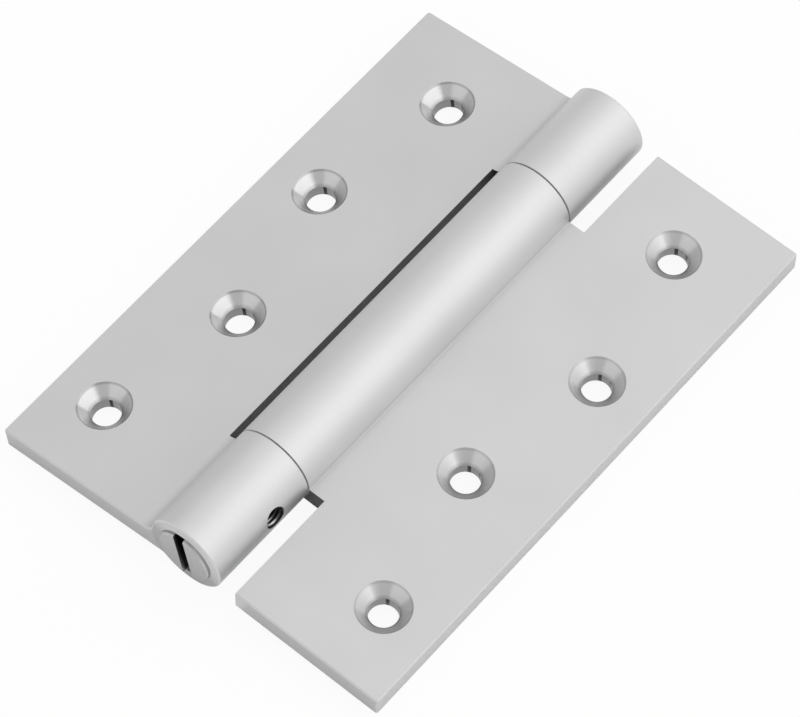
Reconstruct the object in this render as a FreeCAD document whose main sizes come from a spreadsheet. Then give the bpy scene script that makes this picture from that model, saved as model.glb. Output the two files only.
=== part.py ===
import FreeCAD, Part
import math
import os
import re

import Sketcher

# Spring hinge, lying open on its back.
# Row frame: Y runs along the barrel, X across the leaves, Z up.
# The origin is on the surface that the hinge lies on, under the middle of the barrel.

os.makedirs("parts", exist_ok=True)
doc = FreeCAD.newDocument("spring_hinge")

# Driving sizes, in millimetres and degrees
SIZES = {
    # the two leaves
    "hinge_length": 127,
    "leaf_width": 47,
    "leaf_thickness": 5,
    "face_below_axis": 0.5,
    "barrel_radius": 8.5,
    "frame_hollow_radius": 3,
    "door_hollow_radius": 0.1,
    "back_hollow_radius": 1.2,
    "edge_break": 0.3,
    "lower_knuckle_length": 25.3,
    "upper_knuckle_length": 22.9,
    "slot_room": 2.8,
    "notch_room": 3.8,
    # the countersunk screw holes, four in each leaf
    "screw_hole_diameter": 6.1,
    "countersink_diameter": 11.2,
    "countersink_angle": 90,
    "screw_pitch": 31.75,
    "outer_row_inset": 11.8,
    "row_stagger": 6.4,
    # what runs inside the barrel
    "barrel_bore_diameter": 13,
    "shank_diameter": 8,
    "running_clearance": 0.05,
    "end_play": 0.1,
    "washer_thickness": 0.3,
    "washer_inset": 0.3,
    "bush_length": 8,
    "end_room": 0.3,
    # the headed pins in the outer knuckles
    "head_diameter": 12.2,
    "head_rise": 0.8,
    "head_recess": 0.3,
    "knuckle_web": 3.2,
    "pivot_head_length": 4,
    # the driver slot in the end of the tension spindle
    "driver_slot_width": 2.4,
    "driver_slot_depth": 4.8,
    "driver_slot_turn": 10.8,
    # the lock screw and the groove that it bears in
    "lock_screw_diameter": 4.8,
    "lock_screw_inset": 16.2,
    "lock_screw_lift": 2.8,
    "lock_screw_recess": 2.1,
    "lock_groove_width": 5.4,
    "lock_groove_depth": 2.6,
    "lock_socket_across": 2.5,
    "lock_socket_depth": 1.4,
    # the wound spring and the two slotted tips that hold its ends
    "wire_size": 2.2,
    "coil_room": 0.3,
    "turn_room": 0.2,
    "runs_per_turn": 12,
    "tip_diameter": 6.4,
    "tip_overlap": 1,
    "tang_room": 0.15,
    "anchor_length": 8,
    "anchor_pin_diameter": 3,
    "anchor_pin_bite": 4,
    "anchor_pin_recess": 0.2,
}

sizes = doc.addObject("Spreadsheet::Sheet", "sizes")
for row, (alias, number) in enumerate(SIZES.items(), start=1):
    sizes.set(f"A{row}", alias)
    sizes.set(f"B{row}", str(number))
    sizes.setAlias(f"B{row}", alias)
doc.recompute()

SIZE_NAME = re.compile(r"\b(" + "|".join(SIZES) + r")\b")


# Helpers that tie a shape to the sheet

def sheet(expression):
    """Point each size's name in an expression at its cell."""
    return SIZE_NAME.sub(r"sizes.\1", expression)


def value(expression):
    """Work an expression out, as a plain number."""
    result = sizes.evalExpression(sheet(expression))
    return float(getattr(result, "Value", result))


def tie(item, path, expression):
    """Bind one property to an expression of the sheet's sizes."""
    item.setExpression(path, sheet(expression))


def origin_plane(body, role):
    return next(item for item in body.Origin.OriginFeatures if item.Role == role)


def new_body(label):
    body = doc.addObject("PartDesign::Body", label)
    body.Label = label
    return body


def new_sketch(body, role, name, lift="0"):
    """Start a sketch on one of the body's own planes, lifted along its normal."""
    sketch = body.newObject("Sketcher::SketchObject", name)
    sketch.AttachmentSupport = (origin_plane(body, role), "")
    sketch.MapMode = "FlatFace"
    tie(sketch, "AttachmentOffset.Base.z", lift)
    return sketch


def size_constraint(sketch, kind, places, expression):
    """Add one driving constraint, its value tied to the sheet."""
    index = sketch.addConstraint(Sketcher.Constraint(kind, *places, value(expression)))
    tie(sketch, f"Constraints[{index}]", expression)


def hold_point(sketch, curve, end, across, along):
    """Hold one point of a sketch at a place measured from the sketch's origin."""
    for kind, axis, expression in (("DistanceX", -2, across), ("DistanceY", -1, along)):
        if abs(value(expression)) < 1e-9:
            sketch.addConstraint(Sketcher.Constraint("PointOnObject", curve, end, axis))
        elif value(expression) > 0:
            size_constraint(sketch, kind, (-1, 1, curve, end), expression)
        else:
            size_constraint(sketch, kind, (curve, end, -1, 1), f"-({expression})")


def add_polygon(sketch, corners):
    """Draw a closed outline through corners given as pairs of expressions."""
    points = [FreeCAD.Vector(value(across), value(along), 0) for across, along in corners]
    first = sketch.GeometryCount
    count = len(points)
    for index in range(count):
        sketch.addGeometry(Part.LineSegment(points[index], points[(index + 1) % count]))
    for index in range(count):
        after = first + (index + 1) % count
        sketch.addConstraint(Sketcher.Constraint("Coincident", first + index, 2, after, 1))
    for index, (across, along) in enumerate(corners):
        hold_point(sketch, first + index, 1, across, along)


def add_rectangle(sketch, left, right, bottom, top):
    add_polygon(sketch, [(left, bottom), (right, bottom), (right, top), (left, top)])


def add_circle(sketch, across, along, diameter):
    centre = FreeCAD.Vector(value(across), value(along), 0)
    index = sketch.addGeometry(
        Part.Circle(centre, FreeCAD.Vector(0, 0, 1), value(diameter) / 2))
    hold_point(sketch, index, 3, across, along)
    size_constraint(sketch, "Diameter", (index,), diameter)


def finish_sketch(sketch):
    doc.recompute()
    sketch.Visibility = False
    return sketch


def add_feature(body, kind, name, profile=None):
    feature = body.newObject(f"PartDesign::{kind}", name)
    if profile:
        feature.Profile = profile
    return feature


def settle(body, feature, cuts):
    """Rebuild, and see that a cut has removed something and a boss has added something."""
    before = feature.BaseFeature.Shape.Volume if feature.BaseFeature else 0
    doc.recompute()
    after = feature.Shape.Volume
    changed = before - after if cuts else after - before
    if changed <= 0:
        raise RuntimeError(f"{body.Label}: {feature.Name} changed nothing")
    body.Tip = feature
    return feature


def pad_both_ways(body, sketch, name, length):
    pad = add_feature(body, "Pad", name, sketch)
    pad.Midplane = True
    tie(pad, "Length", length)
    return settle(body, pad, cuts=False)


def pocket_through(body, sketch, name):
    pocket = add_feature(body, "Pocket", name, sketch)
    pocket.Type = "ThroughAll"
    pocket.Midplane = True
    return settle(body, pocket, cuts=True)


def pocket_deep(body, sketch, name, depth, reverse=False):
    pocket = add_feature(body, "Pocket", name, sketch)
    pocket.Reversed = reverse
    tie(pocket, "Length", depth)
    return settle(body, pocket, cuts=True)


def turn(body, corners, name, cuts=False, plane="XY_Plane", axis="V_Axis"):
    """Turn an outline of (radius, station) corners about the barrel's axis, or another."""
    sketch = new_sketch(body, plane, f"{name}_outline")
    add_polygon(sketch, corners)
    finish_sketch(sketch)
    feature = add_feature(body, "Groove" if cuts else "Revolution", name, sketch)
    feature.ReferenceAxis = (sketch, [axis])
    feature.Angle = 360
    return settle(body, feature, cuts)


# Stations along the barrel, from its lower end to its upper end
LOW_END = "(-hinge_length / 2)"
HIGH_END = "(hinge_length / 2)"
LOW_KNUCKLE_FACE = f"({LOW_END} + lower_knuckle_length)"
HIGH_KNUCKLE_FACE = f"({HIGH_END} - upper_knuckle_length)"
LOW_BARREL_FACE = f"({LOW_KNUCKLE_FACE} + washer_thickness + end_play)"
HIGH_BARREL_FACE = f"({HIGH_KNUCKLE_FACE} - washer_thickness - end_play)"
LOW_BUSH_TOP = f"({LOW_BARREL_FACE} + bush_length)"
HIGH_BUSH_FOOT = f"({HIGH_BARREL_FACE} - bush_length)"
PIVOT_TIP = f"({HIGH_BUSH_FOOT} - end_room)"
ANCHOR_TOP = f"({PIVOT_TIP} - end_room)"
ANCHOR_FOOT = f"({ANCHOR_TOP} - anchor_length)"
COIL_FOOT = f"({LOW_BUSH_TOP} + end_room)"
COIL_TOP = f"({ANCHOR_FOOT} - end_room)"
SPINDLE_FOOT = f"({LOW_END} - head_rise)"
KNUCKLE_SHOULDER = f"({LOW_KNUCKLE_FACE} - knuckle_web)"
SPINDLE_SHOULDER = f"({KNUCKLE_SHOULDER} - running_clearance)"
PIVOT_SHOULDER = f"({HIGH_END} - head_recess - pivot_head_length)"
LOCK_STATION = f"({LOW_END} + lock_screw_inset)"
ANCHOR_PIN_STATION = f"(({ANCHOR_TOP} + {ANCHOR_FOOT}) / 2)"

# Radii and edges that more than one piece shares
BORE = "(barrel_bore_diameter / 2)"
SHANK = "(shank_diameter / 2)"
SHANK_BORE = f"({SHANK} + running_clearance)"
HEAD = "(head_diameter / 2)"
HEAD_BORE = f"({HEAD} + running_clearance)"
TIP = "(tip_diameter / 2)"
SLOT_EDGE = "(barrel_radius + slot_room)"
NOTCH_EDGE = "(barrel_radius + notch_room)"
LEAF_BACK = "(face_below_axis + leaf_thickness)"
OUTER_ROW = "(leaf_width - outer_row_inset)"
INNER_ROW = f"({OUTER_ROW} - row_stagger)"
COIL_LINE = f"({BORE} - coil_room - wire_size / 2)"
TIP_REACH = "(end_room + wire_size + tip_overlap)"
LOCK_FLOOR = f"({HEAD} - lock_groove_depth)"

# The hinge lies on its barrel and on the back edges of both leaves.
# Each leaf is tilted about the barrel's axis until its back edge comes down to the surface.
DROOP = f"asin(barrel_radius / sqrt(leaf_width ^ 2 + {LEAF_BACK} ^ 2)) - atan({LEAF_BACK} / leaf_width)"


def lay_down(body, side=0, station="0", lift="0"):
    """Set a body on the barrel's axis, tilted with the leaf on one side, or with neither.

    lift turns it by a further angle, in degrees, so that its +X side comes up.
    """
    body.Placement.Rotation.Axis = FreeCAD.Vector(0, 1, 0)
    tie(body, "Placement.Rotation.Axis.x", "0")
    tie(body, "Placement.Rotation.Axis.y", "1")
    tie(body, "Placement.Rotation.Axis.z", "0")
    tie(body, "Placement.Rotation.Angle", f"{side} * ({DROOP}) - {lift} * 1 deg")
    tie(body, "Placement.Base.y", station)
    tie(body, "Placement.Base.z", "barrel_radius")


# Leaves

def leaf_outline(sketch, side, face_radius):
    """Draw a leaf's section: a flat plate that runs into the round barrel.

    side is -1 for a leaf that reaches towards -X and 1 for one that reaches towards +X.
    Hollows join the plate's face and back to the barrel. face_radius names the size of
    the one on the face.
    """
    barrel = value("barrel_radius")
    face_blend = value(face_radius)
    back_blend = value("back_hollow_radius")
    face = -value("face_below_axis")
    back = -value(LEAF_BACK)
    outer = side * value("leaf_width")
    face_turn = face + face_blend
    back_turn = back - back_blend
    face_start = side * math.sqrt((barrel + face_blend) ** 2 - face_turn ** 2)
    back_start = side * math.sqrt((barrel + back_blend) ** 2 - back_turn ** 2)

    def point(across, up):
        return FreeCAD.Vector(across, up, 0)

    def hollow(centre, radius, start, end):
        middle = start + end - centre - centre
        middle.normalize()
        return Part.Arc(start, centre + middle * radius, end)

    top_centre = point(face_start, face_turn)
    low_centre = point(back_start, back_turn)
    top_touch = top_centre * (barrel / (barrel + face_blend))
    low_touch = low_centre * (barrel / (barrel + back_blend))
    sketch.addGeometry([
        Part.LineSegment(point(outer, face), point(face_start, face)),
        hollow(top_centre, face_blend, point(face_start, face), top_touch),
        Part.Arc(top_touch, point(-side * barrel, 0), low_touch),
        hollow(low_centre, back_blend, low_touch, point(back_start, back)),
        Part.LineSegment(point(back_start, back), point(outer, back)),
        Part.LineSegment(point(outer, back), point(outer, face)),
    ])
    plate_face, face_hollow, round_wall, back_hollow, plate_back, plate_edge = range(6)

    def near_end(curve, place):
        return 1 if (sketch.getPoint(curve, 1) - place).Length < 1e-6 else 2

    joins = [
        (plate_face, face_hollow, point(face_start, face), "Tangent"),
        (face_hollow, round_wall, top_touch, "Tangent"),
        (round_wall, back_hollow, low_touch, "Tangent"),
        (back_hollow, plate_back, point(back_start, back), "Tangent"),
        (plate_back, plate_edge, point(outer, back), "Coincident"),
        (plate_edge, plate_face, point(outer, face), "Coincident"),
    ]
    for first, second, place, kind in joins:
        ends = (first, near_end(first, place), second, near_end(second, place))
        sketch.addConstraint(Sketcher.Constraint(kind, *ends))
    sketch.addConstraint(Sketcher.Constraint("Coincident", round_wall, 3, -1, 1))
    sketch.addConstraint(Sketcher.Constraint("Horizontal", plate_face))
    sketch.addConstraint(Sketcher.Constraint("Horizontal", plate_back))
    sketch.addConstraint(Sketcher.Constraint("Vertical", plate_edge))
    size_constraint(sketch, "Radius", (round_wall,), "barrel_radius")
    size_constraint(sketch, "Radius", (face_hollow,), face_radius)
    size_constraint(sketch, "Radius", (back_hollow,), "back_hollow_radius")
    corner = near_end(plate_face, point(outer, face))
    back_corner = near_end(plate_back, point(outer, back))
    hold_point(sketch, plate_face, corner, f"{side} * leaf_width", "-face_below_axis")
    size_constraint(sketch, "DistanceY", (plate_back, back_corner, -1, 1), LEAF_BACK)


def break_edges(body, extrusion):
    """Take the sharpness off the sawn ends and the long outer edges of a leaf."""
    outer = value("leaf_width")
    half = value("hinge_length") / 2

    def is_sawn(edge):
        return all(abs(abs(end.Point.y) - half) < 1e-6 for end in edge.Vertexes)

    def is_outer(edge):
        return all(abs(abs(end.Point.x) - outer) < 1e-6 for end in edge.Vertexes)

    names = [f"Edge{number}" for number, edge in enumerate(extrusion.Shape.Edges, start=1)
             if is_sawn(edge) or is_outer(edge)]
    chamfer = add_feature(body, "Chamfer", f"{body.Label}_edge_break")
    chamfer.Base = (extrusion, names)
    tie(chamfer, "Size", "edge_break")
    return settle(body, chamfer, cuts=True)


def drill_screw_holes(body, side):
    """Drill the countersunk holes, in turn far from the barrel and near to it."""
    sketch = new_sketch(body, "XY_Plane", f"{body.Label}_screw_places", "-face_below_axis")
    for number, row_line in enumerate((OUTER_ROW, INNER_ROW, OUTER_ROW, INNER_ROW)):
        add_circle(sketch, f"{side} * {row_line}", f"({number} - 1.5) * screw_pitch",
                   "screw_hole_diameter")
    finish_sketch(sketch)
    hole = add_feature(body, "Hole", f"{body.Label}_screw_holes", sketch)
    hole.DepthType = "ThroughAll"
    hole.HoleCutType = "Countersink"
    hole.HoleCutCustomValues = True
    tie(hole, "Diameter", "screw_hole_diameter")
    tie(hole, "HoleCutDiameter", "countersink_diameter")
    tie(hole, "HoleCutCountersinkAngle", "countersink_angle")
    return settle(body, hole, cuts=True)


def extrude_leaf(label, side, face_radius):
    body = new_body(label)
    sketch = new_sketch(body, "XZ_Plane", f"{label}_section")
    leaf_outline(sketch, side, face_radius)
    finish_sketch(sketch)
    extrusion = pad_both_ways(body, sketch, f"{label}_extrusion", "hinge_length")
    break_edges(body, extrusion)
    return body


def make_frame_leaf():
    """The leaf for the door frame, with the outer knuckles and the slot between them."""
    body = extrude_leaf("frame_leaf", -1, "frame_hollow_radius")

    slot = new_sketch(body, "XY_Plane", "slot_outline")
    add_rectangle(slot, f"-{SLOT_EDGE}", "barrel_radius + slot_room",
                  LOW_KNUCKLE_FACE, HIGH_KNUCKLE_FACE)
    finish_sketch(slot)
    pocket_through(body, slot, "slot")

    turn(body, [("0", f"{LOW_END} - end_room"), (HEAD_BORE, f"{LOW_END} - end_room"),
                (HEAD_BORE, KNUCKLE_SHOULDER), (SHANK_BORE, KNUCKLE_SHOULDER),
                (SHANK_BORE, f"{LOW_KNUCKLE_FACE} + end_room"),
                ("0", f"{LOW_KNUCKLE_FACE} + end_room")], "spindle_bore", cuts=True)
    turn(body, [("0", f"{HIGH_KNUCKLE_FACE} - end_room"),
                (SHANK, f"{HIGH_KNUCKLE_FACE} - end_room"), (SHANK, PIVOT_SHOULDER),
                (HEAD, PIVOT_SHOULDER), (HEAD, f"{HIGH_END} + end_room"),
                ("0", f"{HIGH_END} + end_room")], "pivot_bore", cuts=True)

    lift = "lock_screw_lift * 1 deg"
    lock_place = new_sketch(body, "YZ_Plane", "lock_screw_place", f"barrel_radius * cos({lift})")
    tie(lock_place, "AttachmentOffset.Base.y", f"barrel_radius * sin({lift})")
    lock_place.AttachmentOffset.Rotation.Axis = FreeCAD.Vector(1, 0, 0)
    tie(lock_place, "AttachmentOffset.Rotation.Angle", f"-{lift}")
    add_circle(lock_place, LOCK_STATION, "0", "lock_screw_diameter")
    finish_sketch(lock_place)
    lock_hole = add_feature(body, "Hole", "lock_screw_hole", lock_place)
    lock_hole.DepthType = "Dimension"
    lock_hole.DrillPoint = "Flat"
    lock_hole.HoleCutType = "None"
    tie(lock_hole, "Diameter", "lock_screw_diameter")
    tie(lock_hole, "Depth", f"barrel_radius - {LOCK_FLOOR}")
    settle(body, lock_hole, cuts=True)

    drill_screw_holes(body, -1)
    lay_down(body, side=-1)
    return body


def make_door_leaf():
    """The leaf for the door, whose long knuckle is the barrel that holds the spring."""
    body = extrude_leaf("door_leaf", 1, "door_hollow_radius")

    notches = new_sketch(body, "XY_Plane", "notch_outlines")
    left = "-(barrel_radius + notch_room)"
    add_rectangle(notches, left, NOTCH_EDGE, f"{LOW_END} - end_room", LOW_BARREL_FACE)
    add_rectangle(notches, left, NOTCH_EDGE, HIGH_BARREL_FACE, f"{HIGH_END} + end_room")
    finish_sketch(notches)
    pocket_through(body, notches, "notches")

    turn(body, [("0", f"{LOW_BARREL_FACE} - end_room"), (BORE, f"{LOW_BARREL_FACE} - end_room"),
                (BORE, f"{HIGH_BARREL_FACE} + end_room"),
                ("0", f"{HIGH_BARREL_FACE} + end_room")], "spring_bore", cuts=True)

    pin_place = new_sketch(body, "XY_Plane", "anchor_pin_place")
    add_circle(pin_place, "0", ANCHOR_PIN_STATION, "anchor_pin_diameter")
    finish_sketch(pin_place)
    pocket_deep(body, pin_place, "anchor_pin_hole", "barrel_radius + end_room")

    drill_screw_holes(body, 1)
    lay_down(body, side=1)
    return body


# Pins, bushes and washers on the barrel's axis

def cut_tip_slot(body, station, outward, width):
    """Cut the cross slot that holds one end of the spring.

    station is the closed end of the slot, and outward is 1 where it opens towards +Y.
    """
    sketch = new_sketch(body, "XY_Plane", f"{body.Label}_tang_slot_outline")
    mouth = f"{station} + {outward} * ({TIP_REACH} + end_room)"
    low, high = (station, mouth) if outward > 0 else (mouth, station)
    add_rectangle(sketch, "-tip_diameter", "tip_diameter", low, high)
    finish_sketch(sketch)
    pocket = add_feature(body, "Pocket", f"{body.Label}_tang_slot", sketch)
    pocket.Midplane = True
    tie(pocket, "Length", width)
    return settle(body, pocket, cuts=True)


def make_tension_spindle():
    """The slotted spindle in the lower knuckle, which winds the spring from below."""
    body = new_body("tension_spindle")
    groove_low = f"({LOCK_STATION} - lock_groove_width / 2)"
    groove_high = f"({LOCK_STATION} + lock_groove_width / 2)"
    turn(body, [("0", SPINDLE_FOOT), (f"{HEAD} - edge_break", SPINDLE_FOOT),
                (HEAD, f"{SPINDLE_FOOT} + edge_break"), (HEAD, groove_low),
                (LOCK_FLOOR, groove_low), (LOCK_FLOOR, groove_high), (HEAD, groove_high),
                (HEAD, SPINDLE_SHOULDER), (SHANK, SPINDLE_SHOULDER), (SHANK, LOW_BUSH_TOP),
                (TIP, LOW_BUSH_TOP), (TIP, f"{LOW_BUSH_TOP} + {TIP_REACH}"),
                ("0", f"{LOW_BUSH_TOP} + {TIP_REACH}")], "spindle_turning")

    driver = new_sketch(body, "XZ_Plane", "driver_slot_outline")
    add_rectangle(driver, "-driver_slot_width / 2", "driver_slot_width / 2",
                  "-head_diameter", "head_diameter")
    tie(driver, "AttachmentOffset.Base.z", f"-({SPINDLE_FOOT} + driver_slot_depth)")
    driver.AttachmentOffset.Rotation.Axis = FreeCAD.Vector(0, 0, 1)
    tie(driver, "AttachmentOffset.Rotation.Angle", "driver_slot_turn * 1 deg")
    finish_sketch(driver)
    pocket_deep(body, driver, "driver_slot", "driver_slot_depth + end_room", reverse=True)

    cut_tip_slot(body, LOW_BUSH_TOP, 1, "wire_size + 2 * tang_room")
    lay_down(body, side=1)
    return body


def make_pivot_pin():
    """The plain headed pin that is pressed into the upper knuckle."""
    body = new_body("pivot_pin")
    top = f"({HIGH_END} - head_recess)"
    turn(body, [("0", PIVOT_TIP), (f"{SHANK} - edge_break", PIVOT_TIP),
                (SHANK, f"{PIVOT_TIP} + edge_break"), (SHANK, PIVOT_SHOULDER),
                (HEAD, PIVOT_SHOULDER), (HEAD, f"{top} - edge_break"),
                (f"{HEAD} - edge_break", top), ("0", top)], "pivot_turning")
    lay_down(body)
    return body


def make_ring(label, inner, outer, low, high):
    body = new_body(label)
    turn(body, [(inner, low), (outer, low), (outer, high), (inner, high)], f"{label}_turning")
    lay_down(body)
    return body


def make_spring_anchor():
    """The plug pinned in the barrel, which holds the upper end of the spring."""
    body = new_body("spring_anchor")
    turn(body, [("0", f"{ANCHOR_FOOT} - {TIP_REACH}"), (TIP, f"{ANCHOR_FOOT} - {TIP_REACH}"),
                (TIP, ANCHOR_FOOT), (BORE, ANCHOR_FOOT), (BORE, ANCHOR_TOP),
                ("0", ANCHOR_TOP)], "anchor_turning")
    cut_tip_slot(body, ANCHOR_FOOT, -1, "wire_size")
    pin_place = new_sketch(body, "XY_Plane", "anchor_pin_seat_place")
    add_circle(pin_place, "0", ANCHOR_PIN_STATION, "anchor_pin_diameter")
    tie(pin_place, "AttachmentOffset.Base.z", f"-({BORE} - anchor_pin_bite)")
    finish_sketch(pin_place)
    pocket_deep(body, pin_place, "anchor_pin_seat", "barrel_radius")
    lay_down(body, side=1)
    return body


def make_anchor_pin():
    """The dowel through the back of the barrel that keeps the anchor from turning."""
    body = new_body("anchor_pin")
    radius = "(anchor_pin_diameter / 2)"
    low = "(anchor_pin_recess - barrel_radius)"
    high = f"(anchor_pin_bite - {BORE})"
    turn(body, [("0", low), (f"{radius} - edge_break", low), (radius, f"{low} + edge_break"),
                (radius, high), ("0", high)], "anchor_pin_turning", plane="XZ_Plane")
    lay_down(body, side=1, station=ANCHOR_PIN_STATION)
    return body


def make_lock_screw():
    """The headless screw in the side of the lower knuckle, which holds the spindle."""
    body = new_body("lock_screw")
    radius = "(lock_screw_diameter / 2)"
    foot = f"({LOCK_FLOOR} + running_clearance)"
    head = "(barrel_radius - lock_screw_recess)"
    turn(body, [(foot, "0"), (foot, f"{radius} - edge_break"),
                (f"{foot} + edge_break", radius), (f"{head} - edge_break", radius),
                (head, f"{radius} - edge_break"), (head, "0")], "lock_screw_turning",
         axis="H_Axis")
    flat = "(lock_socket_across / 2)"
    corner = "(lock_socket_across / sqrt(3))"
    socket = new_sketch(body, "YZ_Plane", "lock_socket_outline", f"{head} - lock_socket_depth")
    add_polygon(socket, [(corner, "0"), (f"{corner} / 2", flat), (f"-{corner} / 2", flat),
                         (f"-{corner}", "0"), (f"-{corner} / 2", f"-{flat}"),
                         (f"{corner} / 2", f"-{flat}")])
    finish_sketch(socket)
    pocket_deep(body, socket, "lock_socket", "lock_socket_depth + end_room", reverse=True)
    lay_down(body, side=-1, station=LOCK_STATION, lift="lock_screw_lift")
    return body


# Torsion spring

class WoundWire:
    """A square wire wound about the Y axis, made of short straight runs.

    Straight runs keep the wound wire light: its faces stay flat all the way up the coil.
    """

    LENGTHS = ("WireSize", "LineRadius", "FirstStation", "LastStation")
    COUNTS = ("Turns", "RunsPerTurn")

    def __init__(self, item):
        for name in self.LENGTHS:
            item.addProperty("App::PropertyDistance", name, "Winding", "")
        for name in self.COUNTS:
            item.addProperty("App::PropertyInteger", name, "Winding", "")
        item.Proxy = self

    def section(self, item, step):
        """Give the wire's four corners after a number of runs from its first section."""
        half = item.WireSize.Value / 2
        turned = 2 * math.pi * step / item.RunsPerTurn
        share = step / (item.Turns * item.RunsPerTurn)
        station = item.FirstStation.Value * (1 - share) + item.LastStation.Value * share
        corners = []
        for out, along in ((-half, -half), (half, -half), (half, half), (-half, half)):
            radius = item.LineRadius.Value + out
            corners.append(FreeCAD.Vector(
                radius * math.cos(turned), station + along, -radius * math.sin(turned)))
        return corners

    def execute(self, item):
        sections = [self.section(item, step)
                    for step in range(item.Turns * item.RunsPerTurn + 1)]
        outlines = [sections[0], sections[-1]]
        for near, far in zip(sections, sections[1:]):
            outlines.append([near[1], near[2], far[2], far[1]])
            outlines.append([near[3], near[0], far[0], far[3]])
            for start, end in ((0, 1), (2, 3)):
                outlines.append([near[start], near[end], far[end]])
                outlines.append([near[start], far[end], far[start]])
        faces = [Part.Face(Part.makePolygon(outline + outline[:1])) for outline in outlines]
        shell = Part.Shell(faces)
        shell.sewShape()
        solid = Part.Solid(shell)
        solid.fixTolerance(1e-6)
        item.Shape = solid


def make_torsion_spring():
    """The spring of square wire, close wound, with a straight tang across each end."""
    half = "(wire_size / 2)"
    first = f"({COIL_FOOT} + {half})"
    last = f"({COIL_TOP} - {half})"

    coil = doc.addObject("Part::FeaturePython", "coil")
    WoundWire(coil)
    tie(coil, "WireSize", "wire_size")
    tie(coil, "LineRadius", COIL_LINE)
    tie(coil, "FirstStation", first)
    tie(coil, "LastStation", last)
    tie(coil, "Turns", f"floor(({last} - {first}) / (wire_size + turn_room))")
    tie(coil, "RunsPerTurn", "runs_per_turn")
    doc.recompute()

    body = new_body("torsion_spring")
    body.BaseFeature = coil
    doc.recompute()
    for name, station in (("lower_tang", first), ("upper_tang", last)):
        tang = new_sketch(body, "XY_Plane", f"{name}_outline")
        add_rectangle(tang, f"-{TIP}", f"{COIL_LINE} + {half}",
                      f"{station} - {half}", f"{station} + {half}")
        finish_sketch(tang)
        pad_both_ways(body, tang, name, "wire_size")
    lay_down(body, side=1)
    return body


# The whole hinge

def make_hinge():
    washer = "(barrel_radius - washer_inset)"
    washer_bore = f"({SHANK_BORE} + running_clearance)"
    return [
        make_frame_leaf(),
        make_door_leaf(),
        make_tension_spindle(),
        make_lock_screw(),
        make_pivot_pin(),
        make_ring("lower_thrust_washer", washer_bore, washer, LOW_KNUCKLE_FACE,
                  f"{LOW_KNUCKLE_FACE} + washer_thickness"),
        make_ring("upper_thrust_washer", washer_bore, washer,
                  f"{HIGH_KNUCKLE_FACE} - washer_thickness", HIGH_KNUCKLE_FACE),
        make_ring("lower_bush", SHANK_BORE, BORE, LOW_BARREL_FACE, LOW_BUSH_TOP),
        make_ring("upper_bush", SHANK_BORE, BORE, HIGH_BUSH_FOOT, HIGH_BARREL_FACE),
        make_torsion_spring(),
        make_spring_anchor(),
        make_anchor_pin(),
    ]


def check(bodies):
    """Stop if anything in the document failed, or if a piece isn't one sound solid."""
    for item in doc.Objects:
        if "Invalid" in item.State or "Error" in item.State:
            raise RuntimeError(f"{item.Name} failed: {item.State}")
    for body in bodies:
        shape = body.Shape
        if shape.isNull() or not shape.isValid() or len(shape.Solids) != 1:
            raise RuntimeError(f"{body.Label} isn't one valid solid")


bodies = make_hinge()
doc.recompute()
check(bodies)
for body in bodies:
    body.Shape.exportStep(f"parts/{body.Label}.step")
    print(f"{body.Label}: {body.Shape.Volume:.1f} mm3")
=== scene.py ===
# %% [markdown]
# # A spring hinge, finished for its picture
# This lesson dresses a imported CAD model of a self-closing door hinge.
# The CAD gives every rigid piece its shape and its place, in metres, with Y along the barrel and Z up.
# What is left for Blender is the look: the metals, the small thread and spring, the light and the camera.

import math
from types import SimpleNamespace

import bmesh
import bpy
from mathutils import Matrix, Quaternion, Vector


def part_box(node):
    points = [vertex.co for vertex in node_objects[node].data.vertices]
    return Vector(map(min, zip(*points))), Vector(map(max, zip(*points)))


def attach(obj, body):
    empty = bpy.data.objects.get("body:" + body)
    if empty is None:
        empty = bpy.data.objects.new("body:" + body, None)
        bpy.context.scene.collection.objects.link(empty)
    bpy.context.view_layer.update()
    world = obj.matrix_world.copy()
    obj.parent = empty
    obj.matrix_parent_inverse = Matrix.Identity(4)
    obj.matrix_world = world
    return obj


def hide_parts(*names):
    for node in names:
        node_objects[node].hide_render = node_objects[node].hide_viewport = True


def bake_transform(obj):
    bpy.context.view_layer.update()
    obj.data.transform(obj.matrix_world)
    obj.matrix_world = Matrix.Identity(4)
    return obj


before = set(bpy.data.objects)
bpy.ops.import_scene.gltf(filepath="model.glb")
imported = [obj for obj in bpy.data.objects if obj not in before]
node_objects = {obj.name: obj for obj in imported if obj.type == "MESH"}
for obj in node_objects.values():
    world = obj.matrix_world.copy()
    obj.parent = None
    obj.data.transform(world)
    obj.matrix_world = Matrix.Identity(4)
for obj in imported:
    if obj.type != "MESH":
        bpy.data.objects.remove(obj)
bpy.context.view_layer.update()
print("pieces from the CAD:", sorted(node_objects))

# %% [markdown]
# ## Where things are on the hinge
# The hinge lies open on its back, so each leaf slopes down a little from the barrel to the table.
# The slope could be typed in as an angle, but it follows from the barrel's size and the leaf's width,
# and the barrel's size can be read from the model itself, so the two can't disagree.
# All the finishes below think in each leaf's own flat frame, so these values come first.

# %% Measure the barrel and the slope
MM = 0.001
LEAF_WIDTH = 47 * MM
LEAF_BACK = 5.5 * MM
leaf_low, leaf_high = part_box("door_leaf")
BARREL_RADIUS = (leaf_high.z - leaf_low.z) / 2
AXIS_HEIGHT = leaf_low.z + BARREL_RADIUS
SLOPE = (math.asin(BARREL_RADIUS / math.hypot(LEAF_WIDTH, LEAF_BACK))
         - math.atan2(LEAF_BACK, LEAF_WIDTH))
print(f"barrel radius {BARREL_RADIUS / MM:.2f} mm, leaf slope {math.degrees(SLOPE):.2f} degrees")

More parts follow.
